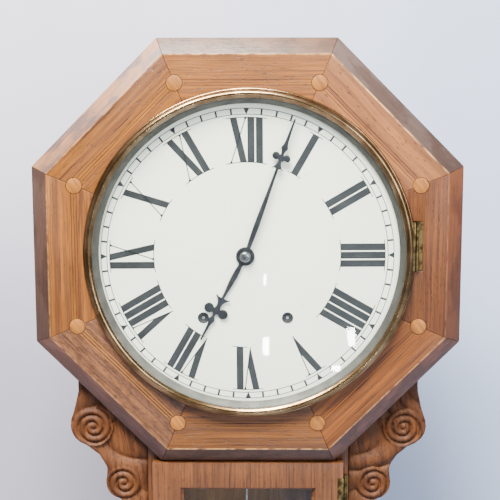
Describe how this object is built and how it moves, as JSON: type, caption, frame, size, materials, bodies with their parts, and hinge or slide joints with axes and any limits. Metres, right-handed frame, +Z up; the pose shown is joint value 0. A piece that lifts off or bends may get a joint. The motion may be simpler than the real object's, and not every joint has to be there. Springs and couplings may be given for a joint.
{
  "type": "schoolhouse wall clock",
  "caption": "Octagonal drop-dial wall clock with hinged glazed bezel, Roman dial, glazed trunk door, pendulum and striking spring movement.",
  "frame": {"origin": "on the wall plane, the backboard's rear face, straight behind the middle of the octagonal head", "axes": "+Y into the wall, so the dial faces -Y; +Z up; +X to the right as seen from the front"},
  "size_m": [0.432, 0.1199, 0.668],
  "materials": {
    "surround_oak": "waxed quartered oak with worn varnish",
    "case_oak": "stained oak, satin varnish",
    "carved_oak": "carved oak, dark stain in the hollows",
    "pine": "bare softwood, aged",
    "bezel_brass": "spun brass, aged lacquer",
    "old_brass": "dull brown brass",
    "movement_brass": "rolled brass sheet, lightly tarnished",
    "sight_grey": "grey metal ring, lightly speckled",
    "glass": "clear flat glass",
    "dial_paint": "off-white dial enamel paint with dark print",
    "blued_steel": "blue-grey steel, worn",
    "steel": "plain steel",
    "iron": "black japanned iron"
  },
  "bodies": {
    "case": {"surround_segment_1": "surround_oak", "surround_segment_2": "surround_oak", "surround_segment_3": "surround_oak", "surround_segment_4": "surround_oak", "surround_segment_5": "surround_oak", "surround_segment_6": "surround_oak", "surround_segment_7": "surround_oak", "surround_segment_8": "surround_oak", "case_side_left": "case_oak", "case_side_right": "case_oak", "trunk_foot": "case_oak", "carved_ear_left": "carved_oak", "carved_ear_right": "carved_oak", "backboard": "pine", "case_top": "pine", "trunk_floor": "pine", "dial_board": "pine", "bezel_hinge_case_leaf": "old_brass", "bezel_hinge_pin": "old_brass", "door_hinge_upper": "old_brass", "door_hinge_lower": "old_brass", "door_strike": "old_brass", "dial": "dial_paint", "hanger_plate": "steel", "mainspring_going": "steel", "mainspring_strike": "steel", "gong": "steel", "gong_stand": "iron", "front_plate": "movement_brass", "back_plate": "movement_brass"},
    "bezel": {"bezel_ring": "bezel_brass", "sight_ring": "sight_grey", "bezel_glass": "glass", "bezel_catch": "old_brass", "bezel_hinge_bezel_leaf": "old_brass"},
    "trunk_door": {"door_frame": "case_oak", "door_glass": "glass"},
    "turn_catch": {"door_catch": "old_brass"},
    "minute_hands": {"minute_hand": "blued_steel", "hand_collet": "steel", "cannon_pinion": "steel"},
    "hour_hands": {"hour_hand": "blued_steel", "hour_wheel": "movement_brass"},
    "motion_wheel": {"minute_wheel": "movement_brass"},
    "going_great": {"great_wheel_going": "movement_brass"},
    "going_second": {"second_wheel": "movement_brass"},
    "going_centre": {"centre_wheel": "movement_brass"},
    "going_third": {"third_wheel": "movement_brass"},
    "going_escape": {"escape_wheel": "movement_brass"},
    "going_arbor": {"winding_arbor_going": "steel"},
    "strike_great": {"great_wheel_strike": "movement_brass"},
    "strike_pins": {"pin_wheel": "movement_brass"},
    "strike_warning": {"warning_wheel": "movement_brass"},
    "strike_fly": {"fly": "movement_brass"},
    "strike_arbor": {"winding_arbor_strike": "steel"},
    "strike_hammer": {"hammer": "steel"},
    "pendulum": {"pendulum_rod": "steel", "bob": "movement_brass"},
    "nut": {"rating_nut": "movement_brass"},
    "crutch": {"pallets": "steel"}
  },
  "joints": [
    {"name": "bezel_swing", "type": "hinge", "parent": "case", "child": "bezel", "pos_m": [0.1691, -0.1095, 0], "axis": [0, 0, 1], "range_deg": [0, 120]},
    {"name": "trunk_door_swing", "type": "hinge", "parent": "case", "child": "trunk_door", "pos_m": [0.1017, -0.0883, -0.31], "axis": [0, 0, 1], "range_deg": [0, 105]},
    {"name": "door_catch_turn", "type": "hinge", "parent": "trunk_door", "child": "turn_catch", "pos_m": [-0.085, -0.104, -0.31], "axis": [0, -1, 0], "range_deg": [-90, 0]},
    {"name": "minute_hand_turn", "type": "hinge", "parent": "case", "child": "minute_hands", "pos_m": [-0.002, -0.1095, 0], "axis": [0, -1, 0], "continuous": true},
    {"name": "hour_hand_turn", "type": "hinge", "parent": "case", "child": "hour_hands", "pos_m": [-0.002, -0.1065, 0], "axis": [0, -1, 0], "continuous": true},
    {"name": "minute_wheel_turn", "type": "hinge", "parent": "case", "child": "motion_wheel", "pos_m": [-0.02166, -0.094, -0.00715], "axis": [0, -1, 0], "continuous": true},
    {"name": "centre_wheel_turn", "type": "hinge", "parent": "case", "child": "going_centre", "pos_m": [-0.002, -0.0787, 0], "axis": [0, -1, 0], "continuous": true},
    {"name": "great_wheel_going_turn", "type": "hinge", "parent": "case", "child": "going_great", "pos_m": [0.0405, -0.0602, -0.063], "axis": [0, -1, 0], "continuous": true},
    {"name": "second_wheel_turn", "type": "hinge", "parent": "case", "child": "going_second", "pos_m": [0.02717, -0.0862, -0.02516], "axis": [0, -1, 0], "continuous": true},
    {"name": "third_wheel_turn", "type": "hinge", "parent": "case", "child": "going_third", "pos_m": [0.01291, -0.0667, 0.02583], "axis": [0, -1, 0], "continuous": true},
    {"name": "escape_wheel_turn", "type": "hinge", "parent": "case", "child": "going_escape", "pos_m": [-0.002, -0.0606, 0.03763], "axis": [0, -1, 0], "continuous": true},
    {"name": "winding_arbor_going_turn", "type": "hinge", "parent": "case", "child": "going_arbor", "pos_m": [0.0405, -0.1, -0.063], "axis": [0, -1, 0], "continuous": true},
    {"name": "pin_wheel_turn", "type": "hinge", "parent": "case", "child": "strike_pins", "pos_m": [-0.048, -0.0862, -0.02303], "axis": [0, -1, 0], "continuous": true},
    {"name": "great_wheel_strike_turn", "type": "hinge", "parent": "case", "child": "strike_great", "pos_m": [-0.0445, -0.0602, -0.063], "axis": [0, -1, 0], "continuous": true},
    {"name": "warning_wheel_turn", "type": "hinge", "parent": "case", "child": "strike_warning", "pos_m": [-0.04028, -0.0667, 0.00577], "axis": [0, -1, 0], "continuous": true},
    {"name": "fly_turn", "type": "hinge", "parent": "case", "child": "strike_fly", "pos_m": [-0.04358, -0.0767, 0.0245], "axis": [0, -1, 0], "continuous": true},
    {"name": "winding_arbor_strike_turn", "type": "hinge", "parent": "case", "child": "strike_arbor", "pos_m": [-0.0445, -0.1, -0.063], "axis": [0, -1, 0], "continuous": true},
    {"name": "hammer_swing", "type": "hinge", "parent": "case", "child": "strike_hammer", "pos_m": [-0.08, -0.0475, -0.048], "axis": [0, 1, 0], "range_deg": [0, 6], "stiffness_Nm_per_rad": 0.02, "springref_deg": -17.19},
    {"name": "pendulum_swing", "type": "hinge", "parent": "case", "child": "pendulum", "pos_m": [-0.002, -0.039, 0.06], "axis": [0, -1, 0], "range_deg": [-4, 4]},
    {"name": "rating_nut_turn", "type": "hinge", "parent": "pendulum", "child": "nut", "pos_m": [-0.002, -0.039, -0.3655], "axis": [0, 0, 1], "continuous": true},
    {"name": "crutch_rock", "type": "hinge", "parent": "case", "child": "crutch", "pos_m": [-0.002, -0.06, 0.06], "axis": [0, -1, 0], "range_deg": [-4, 4]}
  ],
  "couplings": [
    {"joint": "hour_hand_turn", "follows": "minute_hand_turn", "ratio": 0.083333},
    {"joint": "minute_wheel_turn", "follows": "minute_hand_turn", "ratio": -0.33333},
    {"joint": "great_wheel_going_turn", "follows": "centre_wheel_turn", "ratio": 0.083333},
    {"joint": "second_wheel_turn", "follows": "centre_wheel_turn", "ratio": -0.33333},
    {"joint": "third_wheel_turn", "follows": "centre_wheel_turn", "ratio": -10},
    {"joint": "escape_wheel_turn", "follows": "centre_wheel_turn", "ratio": 80},
    {"joint": "great_wheel_strike_turn", "follows": "pin_wheel_turn", "ratio": -0.25},
    {"joint": "warning_wheel_turn", "follows": "pin_wheel_turn", "ratio": -10},
    {"joint": "fly_turn", "follows": "pin_wheel_turn", "ratio": 80},
    {"joint": "crutch_rock", "follows": "pendulum_swing", "ratio": 1}
  ]
}
